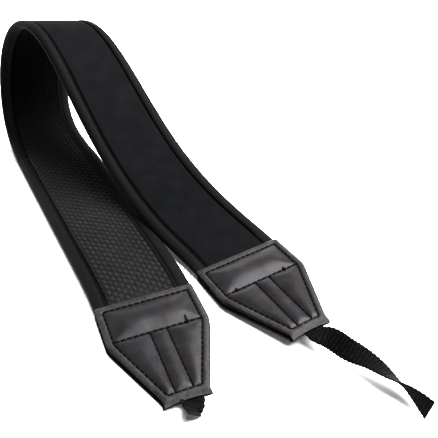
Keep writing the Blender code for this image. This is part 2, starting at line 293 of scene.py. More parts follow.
# %% A line that flat work is laid on
class Line:
    """A curve in space, with the way that a strip's width and its face point along it."""

    def __init__(self, middle, across):
        self.middle = middle
        self.lengths = chord_lengths(middle)
        self.length = self.lengths[-1]
        self.along = unit(np.gradient(middle, self.lengths, axis=0))
        self.across = unit(across - (across * self.along).sum(axis=1)[:, None] * self.along)
        self.face = np.cross(self.across, self.along)

    def read(self, table, at):
        return np.stack([np.interp(at, self.lengths, column) for column in table.T], axis=1)

    def lay(self, piece, thickness=lambda along: 1.0):
        """Moves flat work onto the line, and keeps where each point lay on the flat."""
        flat = places_of(piece)
        keep_as(piece, "flat", flat)
        across, along, up = flat[:, :1], flat[:, 1], flat[:, 2] * thickness(flat[:, 1])
        past = (along - np.clip(along, 0, self.length))[:, None]
        places = self.read(self.middle, along) + unit(self.read(self.along, along)) * past
        places += unit(self.read(self.across, along)) * across
        places += unit(self.read(self.face, along)) * up[:, None]
        set_places(piece, places)


PRESSED_AT_TIP, PRESSED_AT_TAB = 0.56, 0.64
TONGUE_LENGTH = 12 * MM
SEWN_FLAT = TONGUE_LENGTH + 3.5 * MM
POINTS_ALONG_BAND = 561
SWELL_LENGTH = 10 * MM


def pressed(along, length):
    """The share of its thickness that the band has, which is less where it is sewn into a tab."""
    from_end = np.minimum(along, length - along)
    stops = (0.0, SEWN_FLAT, SEWN_FLAT + SWELL_LENGTH)
    return np.interp(from_end, stops, (PRESSED_AT_TIP, PRESSED_AT_TAB, 1.0))


def band_line():
    rows = np.array([(*table_place(s.x, s.y, s.z), s.swing, s.tip) for s in BAND])
    knots = chord_lengths(rows[:, :3])
    at = np.linspace(0, knots[-1], POINTS_ALONG_BAND)
    fine = natural_spline(knots, rows, at)
    swing, tip = np.radians(fine[:, 3]), np.radians(fine[:, 4])
    half, side = BAND_THICKNESS / 2 / MM, BAND_WIDTH / 2 / MM
    share = pressed(at * MM, knots[-1] * MM)
    fine[:, 2] = np.maximum(fine[:, 2], half * share + side * np.abs(np.sin(tip)))
    level = np.cos(tip)
    across = np.stack([np.cos(swing) * level, np.sin(swing) * level, np.sin(tip)], axis=1)
    return Line(fine[:, :3] * MM, across)


band = band_line()


def lay_on_band(piece):
    band.lay(piece, lambda along: pressed(along, band.length))


print("the band is", round(band.length / MM), "mm long")

# %% [markdown]
# ## Finishes: maths on sockets
# A finish is a small program of nodes. Written out node by node it is hard to read, so a signal
# wraps one socket, and plus, times and the rest on it add the Math nodes. Anything else, such
# as a noise or a mix of two colours, comes from one method of the finish.


# %% Signals and finishes
class Signal:
    """A number, colour or place that runs through a finish. Arithmetic on it adds Math nodes."""

    def __init__(self, finish, socket):
        self.finish, self.socket = finish, socket

    def worked(self, operation, *values):
        return self.finish.node("Math", {"operation": operation}, dict(enumerate(values)))

    def __add__(self, other):
        return self.worked("ADD", self, other)

    def __sub__(self, other):
        return self.worked("SUBTRACT", self, other)

    def __rsub__(self, other):
        return self.worked("SUBTRACT", other, self)

    def __mul__(self, other):
        return self.worked("MULTIPLY", self, other)

    def __truediv__(self, other):
        return self.worked("DIVIDE", self, other)

    def __rtruediv__(self, other):
        return self.worked("DIVIDE", other, self)

    __radd__ = __add__
    __rmul__ = __mul__

    def wave(self):
        """0 to 1 and back for each whole number that the signal grows by."""
        return self.worked("COSINE", self * (2 * math.pi)) * -0.5 + 0.5

    def over(self, low, high):
        """0 below low, 1 above high, and a soft step between."""
        sockets = {"Value": self, "From Min": low, "From Max": high}
        return self.finish.node("MapRange", {"interpolation_type": "SMOOTHSTEP"}, sockets)


class Finish:
    """One material, with the nodes that make its colour, roughness and bump."""

    def __init__(self, name, **even):
        self.material = bpy.data.materials.new(name)
        self.material.use_nodes = True
        self.tree = self.material.node_tree
        self.shader = self.tree.nodes["Principled BSDF"]
        self.place = self.node("TexCoord", out="Object")
        for name_of_socket, value in even.items():
            socket = name_of_socket.replace("_", " ").title().replace("Ior", "IOR")
            self.shader.inputs[socket].default_value = value

    def node(self, kind, settings=None, sockets=None, out=0):
        """Any node: its type, its settings, then the values or signals of its sockets."""
        made = self.tree.nodes.new(f"ShaderNode{kind}")
        for setting, value in (settings or {}).items():
            setattr(made, setting, value)
        for socket, value in (sockets or {}).items():
            if isinstance(value, Signal):
                self.tree.links.new(value.socket, made.inputs[socket])
            else:
                made.inputs[socket].default_value = value
        return Signal(self, made.outputs[out])

    def kept(self, name, out="Fac"):
        """A value that the piece keeps for each of its points."""
        return self.node("Attribute", {"attribute_name": name}, out=out)

    def flat(self, axis):
        """Where each point lay on the flat: X across, Y along and Z up."""
        return self.node("SeparateXYZ", {}, {"Vector": self.kept("flat", "Vector")}, out=axis)

    def noise(self, size, detail=2.0, roughness=0.5):
        """Noise whose lumps are about this large, in metres."""
        sockets = {"Vector": self.place, "Scale": 1 / size, "Detail": detail}
        return self.node("TexNoise", {}, {**sockets, "Roughness": roughness})

    def mix(self, share, first, second):
        """From the first colour to the second one as share goes from 0 to 1."""
        return self.node("Mix", {"data_type": "RGBA"}, {0: share, 6: first, 7: second}, out=2)

    def finish(self, colour, roughness, height, lift):
        """Feeds the shader. lift is how high the height stands, in metres."""
        links = self.tree.links
        links.new(colour.socket, self.shader.inputs["Base Color"])
        links.new(roughness.socket, self.shader.inputs["Roughness"])
        bump = self.node("Bump", {}, {"Height": height, "Distance": lift, "Strength": 1.0})
        links.new(bump.socket, self.shader.inputs["Normal"])
        print("finish", self.material.name, "has", len(self.tree.nodes), "nodes")
        return self.material


def grey(level, warm=0.0):
    """A grey, a little warm or, below 0, a little cool."""
    return (level * (1 + warm), level, level * (1 - warm), 1)


# %% [markdown]
# The table is white, with only a faint unevenness, so that it stays a quiet ground. It glows very
# little, as a light table does, which keeps its shadows pale. It is left out of the light that
# matt surfaces get, or else it would light up the inside of the bend from below.

# %% The table's finish and the table
TABLE_SIDE = 2.2
table_finish = Finish("table_white", emission_color=(1, 0.99, 0.98, 1), emission_strength=0.15)
clouds = table_finish.noise(50 * MM)
white = table_finish.mix(clouds, (0.93, 0.92, 0.91, 1), (0.96, 0.95, 0.94, 1))
table_white = table_finish.finish(white, clouds * 0.1 + 0.5, clouds, 0.01 * MM)
table_top = add_primitive("plane", "table_top", (TABLE_SIDE, TABLE_SIDE, 1), size=1)
table_top.data.materials.append(table_white)
table_top.visible_diffuse = False
table_alone.objects.link(table_top)

# %% [markdown]
# Neoprene is a foam rubber with a thin knit glued on it. From near it is matt and nearly black,
# with faint clouds where the knit has been rubbed and a few specks of dust. The knit itself is so
# fine that bump is enough for it.

# %% Neoprene
neoprene = Finish("neoprene", specular_ior_level=0.1)
clouds = neoprene.noise(11 * MM, detail=4)
knit = neoprene.noise(0.55 * MM, detail=2)
nap = neoprene.noise(0.9 * MM, detail=3, roughness=0.7)
dust = neoprene.noise(1.1 * MM, detail=1).over(0.73, 0.80)
share = clouds.over(0.3, 0.75) * 0.6 + nap.over(0.3, 0.7) * 0.4
rubbed = neoprene.mix(share, (0.0070, 0.0077, 0.0093, 1), (0.0142, 0.0148, 0.0168, 1))
neoprene_knit = neoprene.finish(
    neoprene.mix(dust * 0.4, rubbed, grey(0.08)), knit * 0.12 + 0.68, knit, 0.06 * MM
)

# %% [markdown]
# The lining is a rubbery grip cloth. Its raised dots are real bumps, made further down, and the
# finish leaves their tops paler, by the height that each point had on the flat. Furrows run
# between the rows, and the cloth dips between two dots of a row. Both are painted darker, as
# painted shade in these hollows. The dots are set like bricks, so two waves, one across and one
# along, multiplied with each other, are lowest at the dips. The dots are palest near the tabs.
# Further in they fade into an even grey. The middle of the band lies round a neck and here in the
# bend, and it is painted darkest of all. Both the fading and the darkening are painted shade of the
# bend.

# %% Grip lining
DOT_STEP = 4.76 * MM
DOT_ROW = 2.56 * MM
FIRST_DOT = TONGUE_LENGTH - 4 * MM
grip = Finish("grip_lining", specular_ior_level=0.08)
crosswise, lengthwise, height = (grip.flat(axis) for axis in "XYZ")
clouds = grip.noise(14 * MM, detail=3)
grain = grip.noise(0.5 * MM, detail=2)
wear = grip.noise(2.4 * MM, detail=2, roughness=0.7).over(0.35, 0.65)
pores = grip.noise(0.8 * MM, detail=2).over(0.42, 0.58)
top = height.over(2.5 * MM, 2.8 * MM)
row_wave = 1 - (crosswise / (2 * DOT_ROW)).wave() * 2
dot_wave = ((lengthwise - FIRST_DOT) / DOT_STEP).wave() * 2 - 1
between = row_wave * dot_wave
furrow = (crosswise / DOT_ROW).wave().over(0.3, 1.0)
# Painted shade: the furrows and the dips between dots are darkened in colour, as well as sunk by
# the bump.
dip_with_painted_shade = between.over(0.1, 0.9) * 0.6 + furrow * 0.35
ground = grip.mix(clouds * 0.4 + pores * 0.6, (0.019, 0.0195, 0.0185, 1), (0.037, 0.038, 0.036, 1))
dot = grip.mix(clouds * 0.3 + wear * 0.7, (0.028, 0.029, 0.0275, 1), (0.050, 0.0515, 0.049, 1))
cloth = grip.mix(dip_with_painted_shade * 0.75, ground, grey(0.007))
share = lengthwise / band.length
# Painted shade of the bend: further in, the dots fade into an even grey, and the middle of the
# band, inside the bend, is darkened most of all.
fade_in_bend_shade = share.over(0.08, 0.3) * (1 - share.over(0.7, 0.92))
bend_painted_shade = share.over(0.33, 0.45) * (1 - share.over(0.55, 0.67))
evened_in_bend_shade = grip.mix(fade_in_bend_shade * 0.75, grip.mix(top, cloth, dot), (0.0240, 0.0245, 0.0228, 1))
grip_cloth = grip.finish(
    grip.mix(bend_painted_shade * 0.8, evened_in_bend_shade, grey(0.003)),
    grain * 0.2 + 0.5 - top * 0.08 + bend_painted_shade * 0.35, grain * 0.3 - dip_with_painted_shade, 0.15 * MM,
)

# %% [markdown]
# The binding is a black twill tape. Its slanting ribs are real ridges, and the bump adds the
# single yarns in them. The tops of the ridges are painted paler, as a painted highlight. Where it
# is creased by its stitches and at its inner edge it is painted black, as painted shade.

# %% Binding tape
tape = Finish("binding_tape", specular_ior_level=0.12)
along = tape.flat("Y")
clouds = tape.noise(9 * MM, detail=3)
yarns = (along / (0.42 * MM)).wave() * 0.6 + tape.noise(0.4 * MM) * 0.4
ridge = tape.kept("ridge")
fluff = tape.noise(0.8 * MM, detail=2)
worn = tape.mix(clouds * 0.5 + fluff * 0.5, grey(0.004), grey(0.015))
# Painted highlight: the tops of the ribs are painted paler.
ridges_painted_lit = tape.mix(ridge * 0.7, worn, grey(0.024))
# Painted shade: the creases at the stitches and the tape's inner edge are painted black.
crease_shaded_tape = tape.mix(tape.kept("crease") * 0.9, ridges_painted_lit, grey(0.001))
binding_tape = tape.finish(crease_shaded_tape, yarns * 0.15 + 0.6, yarns, 0.05 * MM)

# %% [markdown]
# The tabs are a grey coated leather with a fine grain, brownish in places. It is paler on the
# pressed margin outside the stitches, and painted dark in the grooves that the stitches pull into
# it, as painted shade in these grooves, so each piece keeps a number for both. The cut edge shows
# the raw fibres under the coat, with a few pale tufts, so it has a finish of its own.


# %% Tab leather and its cut edge
leather = Finish("tab_leather", specular_ior_level=0.27)
margin, painted_groove_shade = leather.kept("margin"), leather.kept("painted_groove_shade")
clouds = leather.noise(7 * MM, detail=5)
tan = leather.noise(12 * MM, detail=3)
cells = leather.node(
    "TexVoronoi", {"feature": "DISTANCE_TO_EDGE"},
    {"Vector": leather.place, "Scale": 1 / (0.85 * MM)},
)
grain = cells.over(0.0, 0.22) * 0.4 + leather.noise(0.35 * MM, detail=2) * 0.3 + clouds * 4
clouded, tanned = clouds.over(0.3, 0.7), tan.over(0.4, 0.62)
cool = leather.mix(clouded, (0.032, 0.032, 0.035, 1), (0.043, 0.043, 0.047, 1))
brown = leather.mix(clouded, (0.037, 0.0325, 0.035, 1), (0.048, 0.0425, 0.045, 1))
body = leather.mix(tanned, cool, brown)
scuffs = leather.noise(1.5 * MM, detail=3, roughness=0.65)
scuffed = clouded * 0.45 + scuffs.over(0.35, 0.65) * 0.55
cool_rim = leather.mix(scuffed, grey(0.032), grey(0.072))
brown_rim = leather.mix(scuffed, (0.035, 0.031, 0.033, 1), (0.076, 0.068, 0.072, 1))
rim = leather.mix(tanned, cool_rim, brown_rim)
# Painted shade: the leather is darkened along its stitch grooves.
sewn = leather.mix(painted_groove_shade * 0.35, leather.mix(margin, body, rim), grey(0.004))
tab_leather = leather.finish(sewn, clouds * 0.12 + 0.25 + margin * 0.18, grain, 0.045 * MM)

raw = Finish("cut_edge", specular_ior_level=0.2)
fibres = raw.noise(0.5 * MM, detail=4, roughness=0.7)
patches = raw.noise(3 * MM, detail=3)
tufts = raw.noise(1.2 * MM, detail=1).over(0.68, 0.74)
share = fibres.over(0.35, 0.7) * 0.6 + patches.over(0.5, 0.8) * 0.4
frayed = raw.mix(share, grey(0.012, 0.05), (0.16, 0.13, 0.12, 1))
tufted = raw.mix(tufts, frayed, (0.6, 0.56, 0.52, 1))
cut_edge = raw.finish(tufted, fibres * 0.2 + 0.7, fibres, 0.15 * MM)

# %% [markdown]
# The back of a tab and its filling are a plain black board leather, matt and slightly fibrous.

# %% Backing leather
backing = Finish("backing_leather", specular_ior_level=0.25)
fibres = backing.noise(0.6 * MM, detail=4, roughness=0.65)
clouds = backing.noise(9 * MM, detail=3)
backing_leather = backing.finish(
    backing.mix(clouds, grey(0.016, 0.02), grey(0.026, 0.02)), fibres * 0.2 + 0.6, fibres, 0.12 * MM
)

# %% [markdown]
# Webbing and thread are black polyester. The webbing's ribs are real, and its finish paints their
# tops paler, as a painted highlight. It also adds the fine yarns across each rib, the paler places
# where a yarn floats over a rib, and some lint.

# %% Webbing and thread
webbing = Finish("webbing", specular_ior_level=0.12)
across = webbing.flat("X")
yarns = (across / (0.55 * MM)).wave() * 0.7 + webbing.noise(0.4 * MM) * 0.3
lint = webbing.noise(0.9 * MM, detail=2).over(0.66, 0.78)
ridge = webbing.kept("ridge")
# Painted highlight: the tops of the ribs are painted paler than the black between them.
black_with_lit_ribs = webbing.mix(ridge, grey(0.0003, 0.08), grey(0.0050, 0.08))
strayed = across / (1.7 * MM) + webbing.noise(2 * MM) * 4
floats = strayed.wave().over(0.55, 0.9) * ridge.over(0.5, 0.9)
worn = webbing.mix(floats * 0.8, black_with_lit_ribs, grey(0.022, 0.04))
webbing_yarn = webbing.finish(
    webbing.mix(lint * 0.3, worn, grey(0.06, 0.08)), yarns * 0.15 + 0.65, yarns, 0.08 * MM
)

thread = Finish("thread", specular_ior_level=0.15)
twist = thread.noise(0.3 * MM, detail=2)
thread_black = thread.finish(
    thread.mix(twist, grey(0.002), grey(0.008)), twist * 0.2 + 0.5, twist, 0.05 * MM
)


# %% [markdown]
# ## Fitting a piece
# Every finished piece is smoothed, gets its finish, moves with the strap and hides the solid
# that it stands for.


# %% Fitting a piece to the strap
def fit(piece, material, solids, smooth=40):
    """Finishes a piece, hangs it from the strap's root and hides its solids. A pair of materials
    fills two slots.
    """
    activate(piece)
    piece.data.materials.clear()
    for each in material if isinstance(material, tuple) else (material,):
        piece.data.materials.append(each)
    bpy.ops.object.shade_smooth_by_angle(angle=math.radians(smooth))
    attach(piece, "root")
    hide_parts(*solids)
    low, high = places_of(piece).min(axis=0), places_of(piece).max(axis=0)
    faces = sum(len(face.vertices) - 2 for face in piece.data.polygons)
    print(piece.name, "is", (high - low).round(4) / MM, "mm and has", faces, "triangles")


# %% [markdown]
# ## The foam band
# A 5 mm foam with a knit skin on its outer face is the body of the strap. At each side it thins
# to a flange that the binding is folded over, and between the two there is a soft groove. A flat
# grid with columns close together near the sides is pulled down into a slab, and its points are
# then set to the height of the swelling. Cloth simulation would also round the sides, but here
# the foam is evenly held along two seams, so its section is the same all the way.

# %% The section of the band, and how its columns lie
FACE_EDGE = 18.3 * MM
FLANGE = 1.25 * MM
CROWN = 0.12 * MM
ROUNDING = 1.5 * MM
COLUMNS = (0, 4, 8, 12, 15, 16.2, 16.9, 17.4, 17.8, 18.05, 18.2, 18.3, 19.0, 23.3)


def crown(across):
    """How much higher the middle of a face lies than its edges."""
    return CROWN * (1 - (across / FACE_EDGE) ** 2)


def face_height(across):
    """Height of the band's face over its middle: crowned, and rounded down at its edges."""
    from_edge = np.clip((FACE_EDGE - np.abs(across)) / ROUNDING, 0, 1)
    swell = np.sqrt(1 - (1 - from_edge) ** 2)
    return FLANGE + (BAND_THICKNESS / 2 - FLANGE) * swell + np.maximum(crown(across), 0)


def spread_columns(piece, columns):
    """Moves evenly spaced columns of points to these places across, in mm, on both sides."""
    places = places_of(piece)
    wanted = np.array([-each for each in columns[:0:-1]] + list(columns)) * MM
    even = np.linspace(wanted[0], wanted[-1], len(wanted))
    places[:, 0] = np.interp(places[:, 0], even, wanted)
    set_places(piece, places)


def add_slab(name, columns, rows, low, high):
    """A closed flat slab as long as the band, with these columns of points."""
    width = 2 * columns[-1] * MM
    piece = add_primitive(
        "grid", name, (width, band.length, 1), (0, band.length / 2, high),
        size=1, x_subdivisions=2 * len(columns) - 2, y_subdivisions=rows,
    )
    spread_columns(piece, columns)
    pick_all(piece)
    bpy.ops.mesh.extrude_region_move(TRANSFORM_OT_translate={"value": (0, 0, low - high)})
    face_outwards(piece)
    return piece


# %% Making the foam band
BAND_ROWS, LINING_ROWS = 300, 260
LINING_UNDER, LINING_ROOM = 1.5 * MM, 1.0 * MM
foam_band = add_slab("foam_band", COLUMNS, BAND_ROWS, -FLANGE, LINING_UNDER)
places = places_of(foam_band)
outer = places[:, 2] < 0
places[outer, 2] = -face_height(places[outer, 0])
places[~outer, 2] = np.minimum(LINING_UNDER, face_height(places[~outer, 0]) - LINING_ROOM)
set_places(foam_band, places)
lay_on_band(foam_band)
fit(foam_band, neoprene_knit, ["neoprene_core"])

# %% [markdown]
# ## The grip lining
# The inner face is a thin rubbery cloth with rows of small oval dots, set like bricks, so that
# the strap doesn't slide on a shoulder. One dot is the upper half of a squashed sphere. Array
# modifiers copy it in two sets that are half a step apart, and the dots are joined to the cloth.
# Displacing the cloth itself would need far more points for softer dots.

# %% The dots
DOT_SIZE = (2.2 * MM, 3.3 * MM, 0.8 * MM)
DOT_SINK = 0.02 * MM


def add_dots(name, along, columns):
    """Columns of dots on both sides of the middle, two rows apart, from this place on."""
    place = (-(columns - 1) * DOT_ROW, along, 0)
    dots = add_primitive("uv_sphere", name, DOT_SIZE, place, segments=10, ring_count=6, radius=0.5)
    pick_all(dots)
    bpy.ops.mesh.bisect(
        plane_co=(0, 0, DOT_SINK), plane_no=(0, 0, 1), threshold=1e-7,
        clear_inner=True, use_fill=True,
    )
    count = int((band.length - FIRST_DOT - along) / DOT_STEP) + 1
    repeat(dots, count, (0, DOT_STEP, 0))
    repeat(dots, columns, (2 * DOT_ROW, 0, 0))
    print(name, "are", count * columns)
    return dots


even_dots = add_dots("even_dots", FIRST_DOT, 7)
odd_dots = add_dots("odd_dots", FIRST_DOT + DOT_STEP / 2, 6)
dots = join([even_dots, odd_dots], "lining_dots")
places = places_of(dots)
places[:, 2] += BAND_THICKNESS / 2 + crown(places[:, 0]) - DOT_SINK
set_places(dots, places)

# %% The lining cloth
LINING_THICKNESS = 0.9 * MM
low, high = 1 * MM, 2 * MM
grip_lining = add_slab("grip_lining_cloth", COLUMNS[:-1], LINING_ROWS, low, high)
places = places_of(grip_lining)
upper = places[:, 2] > (low + high) / 2
places[upper, 2] = face_height(places[upper, 0])
places[~upper, 2] = face_height(places[~upper, 0]) - LINING_THICKNESS
set_places(grip_lining, places)
grip_lining = join([grip_lining, dots], "grip_lining_cloth")
lay_on_band(grip_lining)
fit(grip_lining, grip_cloth, ["grip_lining"])

# %% [markdown]
# ## The bindings
# A tape is folded over each edge of the band and sewn through. It is woven as a twill, so fine
# ribs run slantwise over it. One short stretch as long as a rib is made from a ring of points
# that is extruded along, with the rib pushed outwards. An Array modifier repeats and merges it.
# The right tape was folded unevenly: on the lining it reaches further in, past its stitches.

# %% The section of the binding, and one stretch of it
TAPE_STITCH = 19.55 * MM
HEM_STITCH = 18.95 * MM
RIB_STEP, RIB_ROWS = 1.25 * MM, 4
RIB_LIFT = 0.08 * MM
RIB_SLANT = 1.6 * MM
# The third number of a tape point is how much painted shade it gets: 1, black, in the creases at
# the stitches and at the tape's inner edge.
TapePoint = namedtuple("TapePoint", "across up crease", defaults=(0,))
TAPE_OUTSIDE = (
    TapePoint(18.75, 1.75, 1), TapePoint(18.72, 2.2, 1), TapePoint(18.95, 2.5, 0.6),
    TapePoint(19.35, 2.42, 1), TapePoint(19.8, 2.42, 1), TapePoint(20.3, 2.62),
    TapePoint(21.2, 2.74), TapePoint(22.2, 2.72), TapePoint(23.5, 2.5),
    TapePoint(24.6, 2.0), TapePoint(25.5, 1.15), TapePoint(25.85, 0.0),
)
TAPE_HEM = (
    TapePoint(16.9, 1.75, 1), TapePoint(16.82, 2.5, 1), TapePoint(17.1, 2.78, 1),
    TapePoint(17.5, 2.84, 0.3), TapePoint(18.2, 2.78, 0.2), TapePoint(18.65, 2.3, 1),
    TapePoint(19.25, 2.3, 1), TapePoint(19.7, 2.58, 0.5), *TAPE_OUTSIDE[5:],
)
TAPE_INSIDE = (
    TapePoint(24.1, 0.0), TapePoint(23.7, 1.1), TapePoint(22.6, 1.6), TapePoint(19.4, 1.62),
)
NEAR = 0.02 * MM


def whole_tape_section(lining_side):
    """The closed section, from the middle of its inside round to its inside again."""
    lower = [each._replace(up=-each.up) for each in (*TAPE_INSIDE, *TAPE_OUTSIDE) if each.up > 0]
    return [*TAPE_INSIDE, *lining_side, *lower[::-1]]


def add_stretch(name, section, length, steps):
    """An open tube with this section (across, up), extruded along y in steps."""
    ring = np.column_stack([section[:, 0], np.zeros(len(section)), section[:, 1]])
    piece = add_primitive("circle", name, (1, 1, 1), vertices=len(section), radius=1)
    set_places(piece, ring)
    pick_all(piece)
    for _ in range(steps):
        step = {"value": (0, length / steps, 0)}
        bpy.ops.mesh.extrude_region_move(TRANSFORM_OT_translate=step)
    bpy.ops.object.mode_set(mode="OBJECT")
    return piece


def repeat_stretch(piece, length, count, whole):
    """Repeats a stretch along y, scales the row to the whole length and closes its ends."""
    repeat(piece, count, (0, length, 0), use_merge_vertices=True, merge_threshold=NEAR)
    places = places_of(piece)
    places[:, 1] *= whole / (count * length)
    set_places(piece, places)
    for end in (0.0, whole):
        pick(piece, "VERT", lambda places, end=end: np.abs(places[:, 1] - end) < NEAR)
        bpy.ops.mesh.edge_face_add()
    face_outwards(piece)


def add_binding(name, side, lining_side):
    """The binding of one side of the band: 1 is its right side and -1 its left one."""
    section = np.array(whole_tape_section(lining_side)) * (MM, MM, 1)
    section, crease = section[:, :2], section[:, 2]
    count = len(section)
    piece = add_stretch(f"{name}_binding_tape", section, RIB_STEP, RIB_ROWS)
    places = places_of(piece)
    girth = chord_lengths(section)
    apart = np.linalg.norm(section[None] - places[:, None, [0, 2]], axis=2)
    index = np.argmin(apart, axis=1)
    way_round = np.roll(section, -1, axis=0) - np.roll(section, 1, axis=0)
    outward = unit(np.column_stack([-way_round[:, 1], way_round[:, 0]]))
    is_outside = np.zeros(count, bool)
    is_outside[len(TAPE_INSIDE) : count - len(TAPE_INSIDE) + 1] = True
    phase = places[:, 1] / RIB_STEP + girth[index] / RIB_SLANT
    ridge = (0.5 + 0.5 * np.cos(2 * math.pi * phase)) * is_outside[index]
    places[:, [0, 2]] += outward[index] * (ridge * RIB_LIFT)[:, None]
    places[:, 0] *= side
    set_places(piece, places)
    keep_as(piece, "ridge", ridge)
    # How much painted shade each point of the tape gets, darkest in its creases.
    keep_as(piece, "crease", crease[index])
    repeat_stretch(piece, RIB_STEP, int(band.length / RIB_STEP), band.length)
    lay_on_band(piece)
    fit(piece, binding_tape, [f"{name}_edge_binding"])


add_binding("right", 1, TAPE_HEM)
add_binding("left", -1, TAPE_OUTSIDE)

# %% [markdown]
# ## The stitches along the bindings
# One line of black stitches holds each tape, and shows as a fine dark line on both faces. One
# stitch is a short round rod with bevelled ends. It is copied along the band by an Array
# modifier while everything is still flat, and the whole row is then laid on the band.


# %% One stitch, and a row of them
END_ROUNDING, FLATTENED = 0.28, 0.8


def add_stitch(name, length, thickness, height):
    """A short rod along y with rounded ends, that lies at this height over the middle."""
    stitch = add_primitive(
        "cylinder", name, (thickness, thickness, length), turn=(math.pi / 2, 0, 0),
        vertices=6, radius=0.5, depth=1,
    )
    pick(stitch, "FACE", lambda centres, normals: np.abs(normals[:, 1]) > 0.9)
    bpy.ops.mesh.bevel(offset=thickness * END_ROUNDING, segments=2, affect="EDGES")
    face_outwards(stitch)
    places = places_of(stitch)
    places[:, 2] = places[:, 2] * FLATTENED + height
    set_places(stitch, places)
    return stitch


SEAM_STEP = 2.9 * MM
SEAM_START = TONGUE_LENGTH - 2 * MM
SEAM_STITCH_LENGTH, SEAM_THREAD = 2.3 * MM, 0.55 * MM
SEAM_HEIGHT, HEM_HEIGHT = 2.5 * MM, 2.36 * MM


def add_seam(name, across, up):
    """A row of stitches along the band at this place of its section."""
    seam = add_stitch(name, SEAM_STITCH_LENGTH, SEAM_THREAD, up)
    set_places(seam, places_of(seam) + np.array([across, SEAM_START, 0]))
    repeat(seam, int((band.length - 2 * SEAM_START) / SEAM_STEP) + 1, (0, SEAM_STEP, 0))
    return seam


for side, name, on_lining, high in (
    (1, "right", HEM_STITCH, HEM_HEIGHT), (-1, "left", TAPE_STITCH, SEAM_HEIGHT)
):
    rows = [
        add_seam(f"{name}_seam", side * on_lining, high),
        add_seam(f"{name}_seam", side * TAPE_STITCH, -SEAM_HEIGHT),
    ]
    seam = join(rows, f"{name}_binding_stitches")
    lay_on_band(seam)
    fit(seam, thread_black, [f"{name}_edge_binding"])

# %% [markdown]
# ## The tabs
# A tab is two leathers of the same outline with the band's end, the webbing's end and some
# stuffing between them. The front leather is sewn round its margin and across, so it stands up
# in one stuffed rectangle and three stuffed channels. It is made flat in the tab's own place,
# with x to its right side and y back towards the band, from a grid whose rows follow the
# outline and whose columns follow the seams. The stuffing is the pressure in a short cloth
# simulation, run at twenty times the size, as its settings are meant for clothes and not for
# parts this small. Then the leather is closed, and moved onto the tab.

# %% The outline, the seams and the place of each tab
TabPose = namedtuple("TabPose", "name station heading pitch roll")
TABS = (TabPose("left", 1, 22.5, 0.0, 0.0), TabPose("right", -2, 30.5, 3.0, 2.7))
OutlinePoint = namedtuple("OutlinePoint", "along half_width")
OUTLINE = (
    OutlinePoint(-0.7, 24.4), OutlinePoint(0.1, 25.3), OutlinePoint(1.8, 25.7),
    OutlinePoint(25.5, 25.7), OutlinePoint(27.5, 25.3), OutlinePoint(29.5, 24.5),
    OutlinePoint(62.0, 11.6), OutlinePoint(64.0, 10.9), OutlinePoint(67.6, 11.1),
)
LEATHER = 1.0
RIM_AT_BAND, RIM_AT_WEBBING = 5.9, 3.8
BAND_SEAT = 3.0
BACK_PROUD, BACK_SHORT = 0.4, 1.4
END_HOLLOW = 1.2
TOP_STITCH, CROSS_STITCH, END_STITCH = 4.0, 24.9, 62.2
SIDE_INSET, CHANNEL_STITCH = 3.5, 4.2
STITCH_SINK = 0.45
MARGIN_ROLL, MARGIN_RIPPLE, MARGIN_FADE = 0.28, 0.09, 0.9
RIM_ROUNDING = 0.28 * MM
WALL_LEAN = 0.35
ON_SEAM = 0.01
CLOTH_SCALE, CLOTH_FRAMES, MOST_SWELL = 20, 14, 3.2
DROP = 20 * MM


def half_width(along):
    return np.interp(along, *zip(*OUTLINE))


def rim_height(along):
    """Height of the front leather's upper side at its rim, in mm over the tab's underside."""
    return RIM_AT_BAND + (RIM_AT_WEBBING - RIM_AT_BAND) * along / OUTLINE[-1].along


def tab_place(pose):
    """Place of a tab: +X to its right side, -Y towards its webbing, +Z up from its underside."""
    station = BAND[pose.station]
    turn = (
        Matrix.Rotation(math.radians(pose.heading), 4, "Z")
        @ Matrix.Rotation(math.radians(-pose.pitch), 4, "X")
        @ Matrix.Rotation(math.radians(-pose.roll), 4, "Y")
    )
    seat = Vector(table_place(station.x, station.y, station.z)) - turn.col[2].xyz * BAND_SEAT
    return Matrix.Translation(seat * MM) @ turn


def lay_on_tab(piece, pose):
    """Moves flat work from the tab's own place onto the tab."""
    piece.data.transform(tab_place(pose))
    piece.data.update()


# %% How far a place is from the seams
def to_side_seam(along, across):
    """How far each place is inside the seam along its side, in mm. Outside it is below 0."""
    return half_width(along) - SIDE_INSET - np.abs(across)


def to_seams(along, across):
    """How far each place is from the nearest seam round it, in mm. It is 0 outside the seams."""
    to_side = to_side_seam(along, across)
    rectangle = np.minimum(to_side, np.minimum(along - TOP_STITCH, CROSS_STITCH - along))
    channel = np.minimum(
        np.minimum(to_side, np.abs(np.abs(across) - CHANNEL_STITCH)),
        np.minimum(along - CROSS_STITCH, END_STITCH - along),
    )
    return np.maximum(np.maximum(rectangle, channel), 0)


def end_hollow(along, share_of_half):
    """How far the outline's edge at the webbing is cut in, in mm, which is most in its middle."""
    near_webbing = (np.maximum(along, 0) / OUTLINE[-1].along) ** 8
    return END_HOLLOW * near_webbing * np.cos(share_of_half * math.pi / 2)


# %% The front leather
ROWS = 68
RowStop = namedtuple("RowStop", "row along")
ROW_STOPS = (
    RowStop(0, OUTLINE[0].along), RowStop(5, TOP_STITCH), RowStop(27, CROSS_STITCH),
    RowStop(63, END_STITCH), RowStop(ROWS, OUTLINE[-1].along),
)
INNER_COLUMNS, MIDDLE_COLUMNS, MARGIN_COLUMNS = 5, 13, 4


